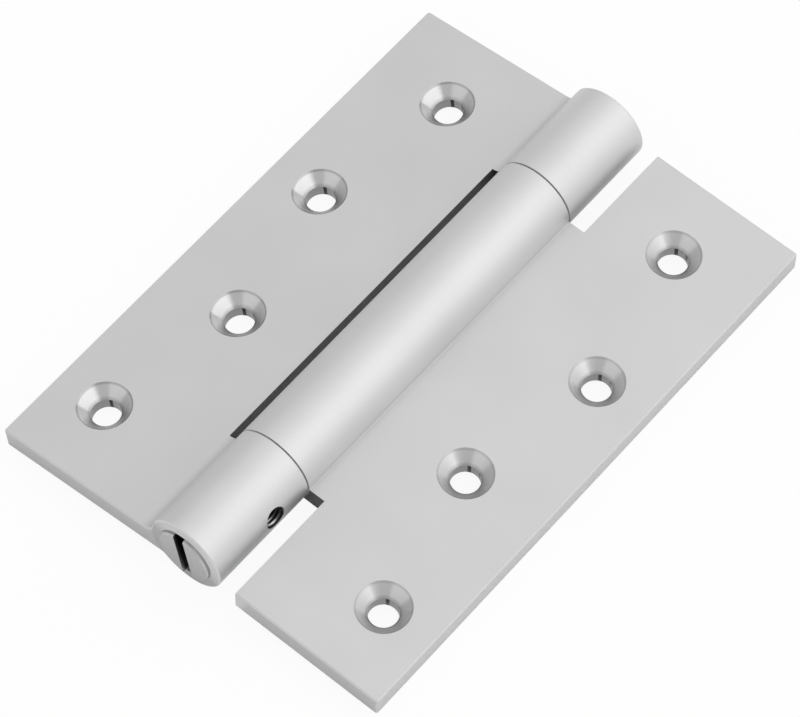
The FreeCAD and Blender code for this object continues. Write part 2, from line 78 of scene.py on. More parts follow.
# %% [markdown]
# ## Small tools for node trees
# A finish is a tree of nodes. Each node does one small thing, such as adding two numbers, and the wires
# between them carry the results. The nodes could be written out each time, but then the idea of each
# finish would be lost among the wires, so a few short methods add a node, wire it and give its result.
# They take numbers and wires alike.

# %% Add nodes and do sums with them
class Wiring:
    """A node tree, with short ways to add nodes and to do sums."""

    def __init__(self, tree):
        self.tree = tree

    def add(self, kind, **settings):
        node = self.tree.nodes.new(kind)
        for setting, choice in settings.items():
            setattr(node, setting, choice)
        return node

    def feed(self, socket, source):
        """Put a number or a wire into a socket."""
        if isinstance(source, bpy.types.NodeSocket):
            self.tree.links.new(source, socket)
        else:
            socket.default_value = source

    def split(self, vector):
        """Take a vector apart, to be read as ["X"], ["Y"] and ["Z"]."""
        node = self.add("ShaderNodeSeparateXYZ")
        self.feed(node.inputs[0], vector)
        return node.outputs

    def join(self, *terms):
        """Make a vector of up to three numbers."""
        node = self.add("ShaderNodeCombineXYZ")
        for socket, term in zip(node.inputs, terms):
            self.feed(socket, term)
        return node.outputs["Vector"]

    def sum(self, operation, *terms):
        node = self.add("ShaderNodeMath", operation=operation)
        for socket, term in zip(node.inputs, terms):
            self.feed(socket, term)
        return node.outputs["Value"]

    def product(self, first, *others):
        """Multiply shares, so that a point counts only where each of them lets it."""
        for other in others:
            first = self.sum("MULTIPLY", first, other)
        return first

    def length(self, *sides):
        """Give the long side of a triangle from its two short ones."""
        squares = [self.sum("POWER", side, 2.0) for side in sides]
        return self.sum("SQRT", self.sum("ADD", *squares))


print("a finish can add, multiply and measure lengths")

# %% [markdown]
# Most questions that a finish asks are soft ones: is this point past the edge, and how far into the shade?
# A hard yes or no would show as a jagged line. A Map Range node answers softly instead: it maps a value
# between two limits on to two others, and holds it there. Three short names for it make the finishes read
# like sentences: spread maps, past rises from 0 to 1 at a limit, and under falls from 1 to 0.

# %% Ask soft questions
class SoftWiring(Wiring):
    """A node tree that can also blend, and change softly at a limit."""

    def spread(self, value, low, high, to_low, to_high, smooth=False):
        """Map a value between two limits on to two others, and hold it there."""
        node = self.add("ShaderNodeMapRange",
                        interpolation_type="SMOOTHSTEP" if smooth else "LINEAR")
        for name, term in (("Value", value), ("From Min", low), ("From Max", high),
                           ("To Min", to_low), ("To Max", to_high)):
            self.feed(node.inputs[name], term)
        return node.outputs["Result"]

    def past(self, value, limit, blur):
        return self.spread(value, limit, limit + blur, 0.0, 1.0)

    def under(self, value, limit, blur):
        return self.spread(value, limit, limit + blur, 1.0, 0.0)

    def blend(self, share, first, second):
        """Mix two numbers, or wires that carry numbers."""
        node = self.add("ShaderNodeMix", data_type="FLOAT")
        for socket, term in zip(node.inputs[:1] + node.inputs[2:4], (share, first, second)):
            self.feed(socket, term)
        return node.outputs[0]


print("soft limits ready")

# %% [markdown]
# Each material ends in the Principled shader, and most of them need noise, a grey, and some relief.
# No real surface is even, so noise varies nearly every number a little. Most of what a noise node gives
# lies between 0.3 and 0.7, so that stretch is mapped on to the two values that are wanted.
# Relief could be real geometry, but grain of a few thousandths of a millimetre is best left to a bump.

# %% Start a material
NOISE_LOW, NOISE_HIGH = 0.3, 0.7
CLEAN_METAL = 1.0, 1.0, 1.004


class Finish(SoftWiring):
    """One material under construction."""

    def __init__(self, name):
        self.material = bpy.data.materials.new(name)
        self.material.use_nodes = True
        super().__init__(self.material.node_tree)
        self.tree.nodes.clear()
        self.shader = self.add("ShaderNodeBsdfPrincipled")
        self.output = self.add("ShaderNodeOutputMaterial")
        self.feed(self.output.inputs["Surface"], self.shader.outputs["BSDF"])

    def stretch(self, place, scale):
        node = self.add("ShaderNodeMapping")
        self.feed(node.inputs["Vector"], place)
        node.inputs["Scale"].default_value = scale
        return node.outputs["Vector"]

    def noise(self, place, scale, detail=2.0, roughness=0.5):
        node = self.add("ShaderNodeTexNoise")
        self.feed(node.inputs["Vector"], place)
        node.inputs["Scale"].default_value = scale
        node.inputs["Detail"].default_value = detail
        node.inputs["Roughness"].default_value = roughness
        return node.outputs["Fac"]

    def vary(self, noise, low, high):
        """Let a noise vary a number between two values."""
        return self.spread(noise, NOISE_LOW, NOISE_HIGH, low, high)

    def grey(self, level):
        """Turn a number into a grey with the faint cool cast of clean metal."""
        node = self.add("ShaderNodeCombineColor")
        for socket, cast in zip(node.inputs, CLEAN_METAL):
            self.feed(socket, self.sum("MULTIPLY", level, cast))
        return node.outputs["Color"]

    def relief(self, height, depth_mm):
        """Raise the surface by a height, where a height of 1 is as deep as stated."""
        node = self.add("ShaderNodeBump")
        node.inputs["Distance"].default_value = depth_mm * MM
        self.feed(node.inputs["Height"], height)
        self.feed(self.shader.inputs["Normal"], node.outputs["Normal"])


print("materials end in the Principled shader")

# %% [markdown]
# ## Satin anodised aluminium, with machined places
# Each leaf and its knuckles are one extrusion, etched and anodised to a satin silver.
# After extruding, the ends are sawn, the slot and notches are milled, and the screw holes are countersunk.
# The countersinks are cut last, so they are bright and smooth, and they catch the lamps in sharp sectors.
# One material does all of this: it works out which kind of surface a point lies on from its place and
# the way it faces, in the leaf's own flat frame. Painting masks by hand would tie the finish to one mesh.
#
# The first step is that flat frame. A Mapping node set to Texture undoes a move, a turn and a scale, so it
# takes a point back to a leaf that lies flat, in millimetres from the barrel's axis.

# %% Lay a point in its leaf's flat frame
def place_from_axis(finish, spot, slope=0.0):
    """Give a point's place in millimetres from the barrel's axis, in a frame with that slope."""
    place = finish.add("ShaderNodeMapping", vector_type="TEXTURE")
    finish.feed(place.inputs["Vector"], spot.outputs["Object"])
    place.inputs["Location"].default_value = (0, 0, AXIS_HEIGHT)
    place.inputs["Rotation"].default_value = (0, slope, 0)
    place.inputs["Scale"].default_value = (MM, MM, MM)
    return place.outputs["Vector"]


def leaf_frame(finish, side):
    """Give a point's place, and the way that it faces, in the flat frame of one leaf."""
    spot = finish.add("ShaderNodeTexCoord")
    facing = finish.add("ShaderNodeVectorRotate", rotation_type="EULER_XYZ", invert=True)
    finish.feed(facing.inputs["Vector"], spot.outputs["Normal"])
    facing.inputs["Rotation"].default_value = (0, side * SLOPE, 0)
    return place_from_axis(finish, spot, side * SLOPE), facing.outputs["Vector"]


print("side -1 is the frame leaf, side 1 the door leaf")

# %% [markdown]
# ### The nearest screw hole
# The eight countersunk holes stand in two rows on each leaf, and in a row they repeat every 63.5 mm.
# Eight distances could be compared one by one. A Wrap node is shorter: it folds each row on to one hole,
# so only two distances are left, and the smaller one counts.
#
# A countersink is cut by a turning tool, which leaves fine rings. Rings blur a reflection up and down the
# cone, but hardly round it, so the shader also needs to know which way is uphill at each point.

# %% Find the nearest screw hole
OUTER_ROW, INNER_ROW = 35.2, 28.8
OUTER_START, INNER_START = -47.625, -15.875
ROW_REPEAT = 63.5


def hole_rows(finish, across, along):
    """Give how far off the nearest hole of each row is: across, along and straight."""
    rows = []
    for row, start in ((OUTER_ROW, OUTER_START), (INNER_ROW, INNER_START)):
        off = finish.sum("SUBTRACT", finish.sum("ABSOLUTE", across), row)
        shifted = finish.sum("SUBTRACT", along, start)
        near = finish.sum("WRAP", shifted, ROW_REPEAT / 2, -ROW_REPEAT / 2)
        rows.append((off, near, finish.length(off, near)))
    return rows


def nearest_hole(finish, across, along, side):
    """Give the distance to the nearest screw hole's axis, and the way out and up along its cone."""
    outer, inner = hole_rows(finish, across, along)
    pick = finish.sum("LESS_THAN", outer[2], inner[2])
    off, near, reach = (finish.blend(pick, *pair) for pair in zip(inner, outer))
    laid = finish.add("ShaderNodeVectorRotate", rotation_type="EULER_XYZ")
    finish.feed(laid.inputs["Vector"], finish.join(finish.sum("MULTIPLY", off, side), near, reach))
    laid.inputs["Rotation"].default_value = (0, side * SLOPE, 0)
    placed = finish.add("ShaderNodeVectorTransform", vector_type="VECTOR",
                        convert_from="OBJECT", convert_to="WORLD")
    finish.feed(placed.inputs["Vector"], laid.outputs["Vector"])
    return reach, placed.outputs["Vector"]


print(f"screw rows at {OUTER_ROW} and {INNER_ROW} mm from the pin")

# %% [markdown]
# ### The machined places
# Three shares tell the cut surfaces from the satin ones, each from 0 to 1:
# - drilled is inside a countersink's rim, and not flat;
# - sawn faces along the barrel;
# - milled walls: steep, close to the barrel but outside it, and short of the leaf's ends. Those are the
#   walls of the slot and the notches, which get painted shade.
#
# The CAD could give each face a name instead, but its mesh has none, so place and facing have to do.
# How far a surface faces a way is a number from 0 to 1: upright is 1 on a flat face and 0 on a wall,
# and endwise is 1 on a sawn end. The last argument of past and under is the blur at the limit.

# %% Tell the machined places apart
NEARLY_STRAIGHT, NEARLY_LEVEL = 0.85, 0.2
BORE_RADIUS, CONE_RADIUS = 3.05, 5.6
MILLED_REACH = 12.4
OUTSIDE_BARREL = 8.56
SHORT_OF_ENDS = 63.1
CORNER_PLACE, FACE_LEVEL = 8.49, -0.5


def read_place(finish, side):
    """Work out where on a leaf a point lies, and what cut it there."""
    place, facing = leaf_frame(finish, side)
    spot, turned = finish.split(place), finish.split(facing)
    upright = finish.sum("ABSOLUTE", turned["Z"])
    endwise = finish.sum("ABSOLUTE", turned["Y"])
    sideways = finish.sum("ABSOLUTE", spot["X"])
    from_axis = finish.length(sideways, spot["Z"])
    from_corner = finish.length(finish.sum("SUBTRACT", sideways, CORNER_PLACE),
                                finish.sum("SUBTRACT", spot["Z"], FACE_LEVEL))
    reach, uphill = nearest_hole(finish, spot["X"], spot["Y"], side)
    drilled = finish.product(finish.under(reach, CONE_RADIUS + 0.02, 0.10),
                             finish.under(upright, NEARLY_STRAIGHT, 0.10))
    sawn = finish.past(endwise, NEARLY_STRAIGHT, 0.10)
    shaded_milled_wall = finish.product(finish.under(upright, NEARLY_LEVEL, 0.2),
                            finish.past(from_axis, OUTSIDE_BARREL, 0.04),
                            finish.under(sideways, MILLED_REACH, 0.05),
                            finish.under(finish.sum("ABSOLUTE", spot["Y"]), SHORT_OF_ENDS, 0.1))
    return SimpleNamespace(place=place, spot=spot, upright=upright, endwise=endwise,
                           sideways=sideways, from_axis=from_axis, from_corner=from_corner,
                           reach=reach, uphill=uphill, drilled=drilled, sawn=sawn, shaded_milled_wall=shaded_milled_wall)


print(f"countersinks {2 * CONE_RADIUS} mm across, holes {2 * BORE_RADIUS} mm")

# %% [markdown]
# ### The lock screw's hole
# A small threaded hole goes into the side of the lower knuckle, lifted a little from the leaf's face.
# Its wall gets painted shade, nearly black, so that its thread stands out. The wall could be a material
# slot of its own, but the CAD's mesh is left as it is, so it is found from its place, like the rest.

# %% Find the lock screw's hole
LOCK_STATION = -47.3
LOCK_LIFT = math.radians(2.8)
LOCK_REACH = 2.45
LOCK_BOTTOM, BELOW_SKIN = 3.0, 8.40


def in_lock_hole(finish, spot):
    """Find the wall of the lock screw's hole, in the frame leaf's own flat frame."""
    forward = finish.sum("MULTIPLY", spot["X"], math.sin(LOCK_LIFT))
    upward = finish.sum("MULTIPLY", spot["Z"], math.cos(LOCK_LIFT))
    reach = finish.length(finish.sum("SUBTRACT", upward, forward),
                          finish.sum("SUBTRACT", spot["Y"], LOCK_STATION))
    return finish.product(finish.under(reach, LOCK_REACH, 0.05),
                          finish.under(finish.length(spot["X"], spot["Z"]), BELOW_SKIN, 0.05),
                          finish.past(spot["X"], LOCK_BOTTOM, 0.1))


print(f"lock screw at {LOCK_STATION} mm along the barrel")

# %% [markdown]
# ### Tones
# Each kind of surface gets its own tone, as a share of the light that it gives back. The tones follow
# the photograph, and the reasons given here are only the likely ones:
# - The flat faces are a little duller than the barrel, and the sawn ends and the long outer edges are
#   duller still.
# - The walls of the slot and the notches get painted shade, as dark as the narrow gaps they stand in.
# - Where the leaf meets the barrel, on the door side, the corner gets painted shade.
# - A countersink gets painted shade in and round its bore, and along its rim, where a small step above the
#   cone would shade it.
#   The door leaf's cones are a little duller than the frame leaf's.
#
# Light alone gives most of the shading. A tone is added only where the light can't explain the photograph.

# %% Choose the tones
CLOUD_SCALE = 0.045
BARREL_TONES = 0.715, 0.745
FLAT_LIMITS, FLAT_SHADE = (8.6, 9.6), 0.945
EDGE_START, EDGE_TONE = 46.9, 0.67
SAWN_TONE = 0.60
WALL_FACINGS, SLOT_WALL_PAINTED_SHADE, NOTCH_WALL_PAINTED_SHADE = (0.5, 0.8), 0.34, 0.21
CUT_FACINGS, BORE_PAINTED_SHADE, CONE_TONE = (0.3, 0.5), 0.38, 0.69
MOUTH_LIMITS, MOUTH_SHADE = (BORE_RADIUS + 0.1, BORE_RADIUS + 0.6), 0.70
RIM_LIMITS = CONE_RADIUS - 0.45, CONE_RADIUS - 0.25
CORNER_LIMITS = 0.1, 1.5
LOCK_HOLE_PAINTED_SHADE = 0.08


def leaf_tone(finish, here, side, corner_shade, rim_shade):
    """Give the tone of a point on a leaf, by the kind of surface it lies on, with painted shade in its
    hollows.
    """
    tone = finish.vary(finish.noise(here.place, CLOUD_SCALE), *BARREL_TONES)
    tone = finish.product(tone, finish.spread(here.from_axis, *FLAT_LIMITS, 1.0, FLAT_SHADE))
    tone = finish.blend(finish.past(here.sideways, EDGE_START, 0.05), tone, EDGE_TONE)
    tone = finish.blend(here.sawn, tone, SAWN_TONE)
    # painted shade on the walls of the slot and the notches
    tone = finish.blend(here.shaded_milled_wall, tone,
                        finish.spread(here.endwise, *WALL_FACINGS, SLOT_WALL_PAINTED_SHADE, NOTCH_WALL_PAINTED_SHADE))
    # painted shade on the bore, round its mouth and along the cone's rim
    cut = finish.spread(here.upright, *CUT_FACINGS, BORE_PAINTED_SHADE, CONE_TONE)
    mouth = finish.spread(here.reach, *MOUTH_LIMITS, MOUTH_SHADE, 1.0)
    rim = finish.spread(here.reach, *RIM_LIMITS, 1.0, rim_shade)
    tone = finish.blend(here.drilled, tone, finish.product(cut, mouth, rim))
    # painted shade in the corner where the leaf meets the barrel
    tone = finish.product(tone, finish.spread(here.from_corner, *CORNER_LIMITS, corner_shade, 1.0,
                                              smooth=True))
    # painted shade on the wall of the lock screw's hole
    if side == -1:
        tone = finish.blend(in_lock_hole(finish, here.spot), tone, LOCK_HOLE_PAINTED_SHADE)
    return tone


print(f"barrel tones {BARREL_TONES}, slot {SLOT_WALL_PAINTED_SHADE}, notches {NOTCH_WALL_PAINTED_SHADE}")

# %% [markdown]
# ### Grain, lines and rings
# The satin faces have a very fine grain and, along the barrel and the leaf, the faintest die lines.
# Noise that is stretched some hundred times longer one way than the other gives such lines. The saw lines
# on the ends are made the same way, and run through the leaf's thickness. Tool rings in the countersinks
# are noise that is read only by distance from the hole.
#
# In the photograph the rim of the barrel's round end is nearly as light as its top, as if the saw's
# edge was eased by hand. A bevel in the CAD would be the thorough way. Here a bump leans the round ends
# outward towards their rim, so that the rim catches the same light.

# %% Shape the leaf's relief
GRAIN_DEPTH = 0.006
DIE_STRETCH, SAW_STRETCH = (3.0, 0.012, 3.0), (5.0, 0.2, 0.5)
DIE_SHARE = 0.35
RING_SCALE = 7.0
EASED_START, EASED_END, EASED_DROP = 6.3, 8.5, 1.44


def leaf_relief(finish, here, grain):
    """Put the grain, the die lines, the saw lines and the tool rings where each belongs."""
    die_lines = finish.noise(finish.stretch(here.place, DIE_STRETCH), 1.0, detail=3.0)
    saw_lines = finish.noise(finish.stretch(here.place, SAW_STRETCH), 1.0, detail=3.0)
    tool_rings = finish.noise(finish.join(here.reach), RING_SCALE)
    height = finish.blend(DIE_SHARE, grain, die_lines)
    height = finish.blend(here.sawn, height, saw_lines)
    height = finish.blend(here.drilled, height, tool_rings)
    eased = finish.product(here.sawn, finish.spread(here.from_axis, EASED_START, EASED_END,
                                                    0.0, -EASED_DROP / GRAIN_DEPTH))
    finish.relief(finish.sum("ADD", height, eased), GRAIN_DEPTH)


print(f"round ends lean outward from {EASED_START} mm to their rim at {EASED_END} mm")

# %% [markdown]
# ### The leaf finish
# Now the finish is only a matter of putting the pieces together. The grain is too fine to see one by one,
# so it is a small change in tone and in roughness as well as a bump. Anodised metal is still metal, so
# its colour is that of its reflection. The sheen is stretched (anisotropic) only in the countersinks.
# One finish could serve both leaves, but their cones and corners differ a little, so each has its own.

# %% Dress the leaves
GRAIN_SCALE, SPECKLE = 9.0, 0.012
SATIN_DULLNESS, SAWN_DULLNESS = (0.54, 0.60), 0.45
RING_SHEEN = 0.9


def leaf_finish(name, side, corner_shade, rim_shade, cone_dullness):
    finish = Finish(name)
    here = read_place(finish, side)
    grain = finish.noise(here.place, GRAIN_SCALE, detail=3.0, roughness=0.6)
    tone = finish.sum("ADD", leaf_tone(finish, here, side, corner_shade, rim_shade),
                      finish.vary(grain, -SPECKLE, SPECKLE))
    finish.feed(finish.shader.inputs["Base Color"], finish.grey(tone))
    dullness = finish.blend(here.sawn, finish.vary(grain, *SATIN_DULLNESS), SAWN_DULLNESS)
    dullness = finish.blend(here.drilled, dullness, cone_dullness)
    finish.feed(finish.shader.inputs["Roughness"], dullness)
    finish.shader.inputs["Metallic"].default_value = 1.0
    finish.feed(finish.shader.inputs["Anisotropic"], finish.product(here.drilled, RING_SHEEN))
    finish.feed(finish.shader.inputs["Tangent"], here.uphill)
    leaf_relief(finish, here, grain)
    return finish.material


def dress(node, material):
    """Give a CAD node one finish all over."""
    slots = node_objects[node].data.materials
    slots.clear()
    slots.append(material)


dress("frame_leaf", leaf_finish("satin_aluminium_frame_side", -1,
                                corner_shade=1.0, rim_shade=0.70, cone_dullness=0.26))
dress("door_leaf", leaf_finish("satin_aluminium_door_side", 1,
                               corner_shade=0.91, rim_shade=0.82, cone_dullness=0.28))
print("both leaves finished")

# %% [markdown]
# ## Turned and plated steel
# The spindle and the pivot pin are turned on a lathe, then plated. The lock screw is blackened,
# and the spring's anchor and dowel are only oiled.
# Facing cuts leave fine rings round the axis on the flat ends, and the sides carry feed lines.
# A picture of brushed steel would have to be wrapped on each piece. Rings round the barrel's axis need
# none: they are noise that is read only by distance from that axis and by the place along it.

# %% The turned finish
SLOT_DUSK, SLOT_REACH, SLOT_SHADE = 0.8, 5.95, 0.12
FADED_SHARE = 0.25
FACING_SCALE, DARK_RING, LIGHT_RING = 5.0, 0.94, 1.05
STEEL_GRAIN_SCALE, GRAIN_SHARE, TURNED_DEPTH = 8.0, 0.3, 0.008
LESS_DULL, MORE_DULL = 0.04, 0.05


def turned_finish(name, level, dullness, slot_mouth=None, fade=None):
    """Give turned steel, with painted shade inside a driver slot or fading between two stations if asked.
    """
    finish = Finish(name)
    place = place_from_axis(finish, finish.add("ShaderNodeTexCoord"))
    parts = finish.split(place)
    radius = finish.length(parts["X"], parts["Z"])
    rings = finish.noise(finish.join(radius, parts["Y"]), FACING_SCALE, detail=3.0)
    grain = finish.noise(place, STEEL_GRAIN_SCALE, detail=3.0)
    shade = finish.vary(rings, level * DARK_RING, level * LIGHT_RING)
    # painted shade inside the driver slot
    if slot_mouth is not None:
        inside = finish.product(finish.past(parts["Y"], slot_mouth, SLOT_DUSK),
                                finish.under(radius, SLOT_REACH, 0.05))
        shade = finish.blend(inside, shade, level * SLOT_SHADE)
    # painted shade that fades the piece between two stations
    if fade is not None:
        shade = finish.product(shade, finish.spread(parts["Y"], *fade, 1.0, FADED_SHARE,
                                                    smooth=True))
    finish.feed(finish.shader.inputs["Base Color"], finish.grey(shade))
    finish.feed(finish.shader.inputs["Roughness"],
                finish.vary(grain, dullness - LESS_DULL, dullness + MORE_DULL))
    finish.shader.inputs["Metallic"].default_value = 1.0
    finish.relief(finish.blend(GRAIN_SHARE, rings, grain), TURNED_DEPTH)
    return finish.material


print("turned finish ready")

# %% [markdown]
# The spindle's driver slot is sawn after the turning, and it gets painted shade inside, past its mouth.
# It is the same steel, so it is the same finish, told where the slot's mouth is.
# A finish of its own for the slot's walls would need the mesh cut into two materials.

# %% Dress the turned pieces
SPINDLE_END = -64.3
plated_steel = turned_finish("plated_steel", level=0.55, dullness=0.36)
slotted_steel = turned_finish("plated_steel_slotted", level=0.55, dullness=0.36,
                              slot_mouth=SPINDLE_END + 0.1)
oiled_steel = turned_finish("oiled_steel", level=0.42, dullness=0.32)
dress("tension_spindle", slotted_steel)
dress("pivot_pin", plated_steel)
dress("lock_screw", turned_finish("blackened_steel", level=0.10, dullness=0.36))
for node in ("spring_anchor", "anchor_pin"):
    dress(node, oiled_steel)
print("turned pieces finished")

# %% [markdown]
# ## Bushes and washers
# The bushes are sintered bronze, which is warm in colour and full of tiny pores that hold oil.
# The thrust washers are a slippery dark plastic, and they show only as the thin lines round the barrel.
# The lower washer is a lighter copy of that plastic: painted light that makes the lower line the lighter
# one.
# Pores could be modelled one by one only at a great cost, and fine noise does as well: it darkens,
# dulls and sinks the same spots.

# %% Bronze and plastic
PORE_SCALE, PORE_LIMITS = 2600.0, (0.38, 0.6)
PORE_DULLNESS, PORE_DEPTH = 0.12, 0.01


def pitted_finish(name, colour, dark_colour, dullness, metal):
    finish = Finish(name)
    spot = finish.add("ShaderNodeTexCoord")
    pores = finish.noise(spot.outputs["Object"], PORE_SCALE, detail=3.0, roughness=0.65)
    mix = finish.add("ShaderNodeMix", data_type="RGBA")
    finish.feed(mix.inputs[0], finish.spread(pores, *PORE_LIMITS, 0.0, 1.0))
    mix.inputs[6].default_value = (*dark_colour, 1)
    mix.inputs[7].default_value = (*colour, 1)
    finish.feed(finish.shader.inputs["Base Color"], mix.outputs[2])
    finish.feed(finish.shader.inputs["Roughness"],
                finish.vary(pores, dullness + PORE_DULLNESS, dullness))
    finish.shader.inputs["Metallic"].default_value = metal
    finish.relief(pores, PORE_DEPTH)
    return finish.material


bronze = pitted_finish("sintered_bronze", colour=(0.62, 0.42, 0.22),
                       dark_colour=(0.30, 0.19, 0.10), dullness=0.38, metal=1.0)
dark_plastic = pitted_finish("dark_acetal", colour=(0.20, 0.20, 0.202),
                             dark_colour=(0.13, 0.13, 0.131), dullness=0.45, metal=0.0)
# a lighter copy of the dark plastic, painted light for the lower joint line
lit_plastic = pitted_finish("acetal_painted_light", colour=(0.40, 0.40, 0.404),
                             dark_colour=(0.31, 0.31, 0.312), dullness=0.45, metal=0.0)
for node in ("lower_bush", "upper_bush"):
    dress(node, bronze)
dress("lower_thrust_washer", lit_plastic)
dress("upper_thrust_washer", dark_plastic)
print("bushes and washers finished")

# %% [markdown]
# ## Sweeping a section along a line
# A thread and a spring are both one small section that travels along a line. A curve with a bevel makes
# such a piece too, but the thread's section changes its shape on the way, and a bevel keeps its own.
# So the sections are worked out one by one, and joined to a tube of plain faces with a flat end on each.

# %% Tools for swept pieces
def sweep_rings(sections):
    """Join equal closed sections into a tube with flat ends."""
    count = len(sections[0])
    points = [point for section in sections for point in section]
    faces = []
    for step in range(len(sections) - 1):
        for corner in range(count):
            beside = (corner + 1) % count
            near, far = step * count, (step + 1) * count
            faces.append((near + corner, near + beside, far + beside, far + corner))
    faces.append(tuple(range(count)))
    faces.append(tuple(range(len(points) - count, len(points))))
    return points, faces


def make_mesh_object(name, points, faces, smooth=False):
    """Make an object at the origin, with its place in its mesh and its faces turned outward."""
    mesh = bpy.data.meshes.new(name)
    mesh.from_pydata([tuple(point) for point in points], [], faces)
    mesh.update()
    shape = bmesh.new()
    shape.from_mesh(mesh)
    bmesh.ops.recalc_face_normals(shape, faces=shape.faces)
    shape.to_mesh(mesh)
    shape.free()
    for face in mesh.polygons:
        face.use_smooth = smooth
    item = bpy.data.objects.new(name, mesh)
    bpy.context.scene.collection.objects.link(item)
    return item


def tilt(point, side):
    """Take a point from a leaf's flat frame to the hinge's frame, in metres."""
    turn = Quaternion((0, 1, 0), side * SLOPE)
    return turn @ point + Vector((0, 0, AXIS_HEIGHT))


print("sweeping tools ready")

# %% [markdown]
# ## The thread in the lock screw's hole
# Looking into the hole in the side of the lower knuckle, the light picks out the turns of its thread
# above the lock screw, as two bright bars against the dark wall.
# A thread is a small ridge that climbs round the hole's wall, so it is swept here as one strip of mesh:
# a point on the wall, a narrow crest, and a point on the wall again, for each small step. It starts level
# with the screw's face and runs out just under the mouth of the hole. Where the ridge would dip into the
# screw it is cut off level, and the nudge keeps its corners a little apart there.
# Bump alone would look flat from the side, and cutting a thread in the CAD would cost many faces.

# %% Draw the thread's sections
THREAD_PITCH = 0.86 * MM
WALL_RADIUS = 2.4 * MM
IN_THE_WALL = 0.02 * MM
CREST_RADIUS = 2.07 * MM
THREAD_FLOOR = 6.43 * MM
LOW_CREST = 6.43 * MM
LOW_ANGLE = math.radians(270)
FIRST_ANGLE, LAST_ANGLE = math.radians(200), math.radians(880)
STEPS_PER_TURN = 32
RUN_IN_STEPS, LEAST_RIDGE = 6, 0.05
RIDGE_HALF, CREST_HALF = 0.3 * MM, 0.05 * MM
FLOOR_NUDGE = 0.04 * MM


def helix_point(radius, angle, along):
    """A point of a right-hand helix about the local +X axis."""
    return Vector((along, radius * math.cos(angle), radius * math.sin(angle)))


def ridge_section(angle, run_in):
    """Give the ridge's four corners at one angle: wall, crest, crest and wall."""
    along = LOW_CREST + THREAD_PITCH * (angle - LOW_ANGLE) / (2 * math.pi)
    crest = WALL_RADIUS - max(run_in, LEAST_RIDGE) * (WALL_RADIUS - CREST_RADIUS)
    wall = WALL_RADIUS + IN_THE_WALL
    return [helix_point(radius, angle, max(THREAD_FLOOR + nudge, along + shift))
            for radius, shift, nudge in ((wall, -RIDGE_HALF, 0.0),
                                         (crest, -CREST_HALF, 0.0),
                                         (crest, CREST_HALF, FLOOR_NUDGE),
                                         (wall, RIDGE_HALF, 2 * FLOOR_NUDGE))]


thread_steps = round((LAST_ANGLE - FIRST_ANGLE) / (2 * math.pi) * STEPS_PER_TURN)
thread_sections = []
for step in range(thread_steps + 1):
    run_in = min(1, step / RUN_IN_STEPS, (thread_steps - step) / RUN_IN_STEPS)
    section = ridge_section(FIRST_ANGLE + 2 * math.pi * step / STEPS_PER_TURN, run_in)
    lifted = [Quaternion((0, 1, 0), -LOCK_LIFT) @ point for point in section]
    thread_sections.append([tilt(point + Vector((0, LOCK_STATION * MM, 0)), -1)
                            for point in lifted])
print(f"thread of {thread_steps / STEPS_PER_TURN:.1f} turns")

# %% [markdown]
# The bars fade towards the middle of the barrel, into shade. A second lamp could be
# aimed to leave them in shade, but it would change the whole hinge, so the finish paints that shade there
# instead.

# %% Sweep the thread
FADE_START, FADE_END = LOCK_STATION - 0.2, LOCK_STATION + 1.2
thread = make_mesh_object("lock_hole_thread", *sweep_rings(thread_sections))
thread.data.materials.append(turned_finish(
    "cut_aluminium", level=0.52, dullness=0.30, fade=(FADE_START, FADE_END)))
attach(thread, "frame")
print(f"thread of {len(thread.data.polygons)} faces")

# %% [markdown]
# ## The torsion spring
# The spring is hidden in the barrel, but it is what makes the hinge close, so it gets its true round wire.
# The CAD keeps a light version with flat sides. Here the wire follows one smooth line: straight across
# the spindle's slot, round the coil, and straight across the anchor's slot.
# A curve with a round bevel would do, but a swept mesh keeps the straight ends exactly straight.

# %% Draw the spring's line
spring_low, spring_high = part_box("torsion_spring")
WIRE_RADIUS = 1.1 * MM
COIL_RADIUS = 5.1 * MM
TANG_REACH = 3.2 * MM
COIL_STEPS = 40
SPRING_TURNS = 21
coil_foot = spring_low.y + WIRE_RADIUS
coil_rise = spring_high.y - spring_low.y - 2 * WIRE_RADIUS
coil_top = coil_foot + coil_rise
line = [Vector((-TANG_REACH, coil_foot, 0)), Vector((0, coil_foot, 0))]
for step in range(COIL_STEPS * SPRING_TURNS + 1):
    angle = 2 * math.pi * step / COIL_STEPS
    rise = coil_foot + coil_rise * step / (COIL_STEPS * SPRING_TURNS)
    line.append(Vector((COIL_RADIUS * math.cos(angle), rise, -COIL_RADIUS * math.sin(angle))))
line += [Vector((0, coil_top, 0)), Vector((-TANG_REACH, coil_top, 0))]
print(f"spring of {SPRING_TURNS} turns, from {coil_foot / MM:.2f} to {coil_top / MM:.2f} mm")

# %% [markdown]
# The spring's lower end turns with the spindle and its upper end with the door leaf, and the turns
# between them wind up. The wire is swept as two lengths that meet in the middle turn. Fixed to the door
# leaf as a whole, its lower end would cut through the spindle when the hinge closes.

# %% Wind the spring
WIRE_CORNERS = 10
wire_sections = []
for number, centre in enumerate(line):
    ahead = line[min(number + 1, len(line) - 1)]
    behind = line[max(number - 1, 0)]
    heading = (ahead - behind).normalized()
    outward = Vector((0, 1, 0)).cross(heading).normalized()
    upward = heading.cross(outward)
    wire_sections.append([
        tilt(centre + WIRE_RADIUS * (outward * math.cos(turn) + upward * math.sin(turn)), 1)
        for turn in (2 * math.pi * corner / WIRE_CORNERS for corner in range(WIRE_CORNERS))])

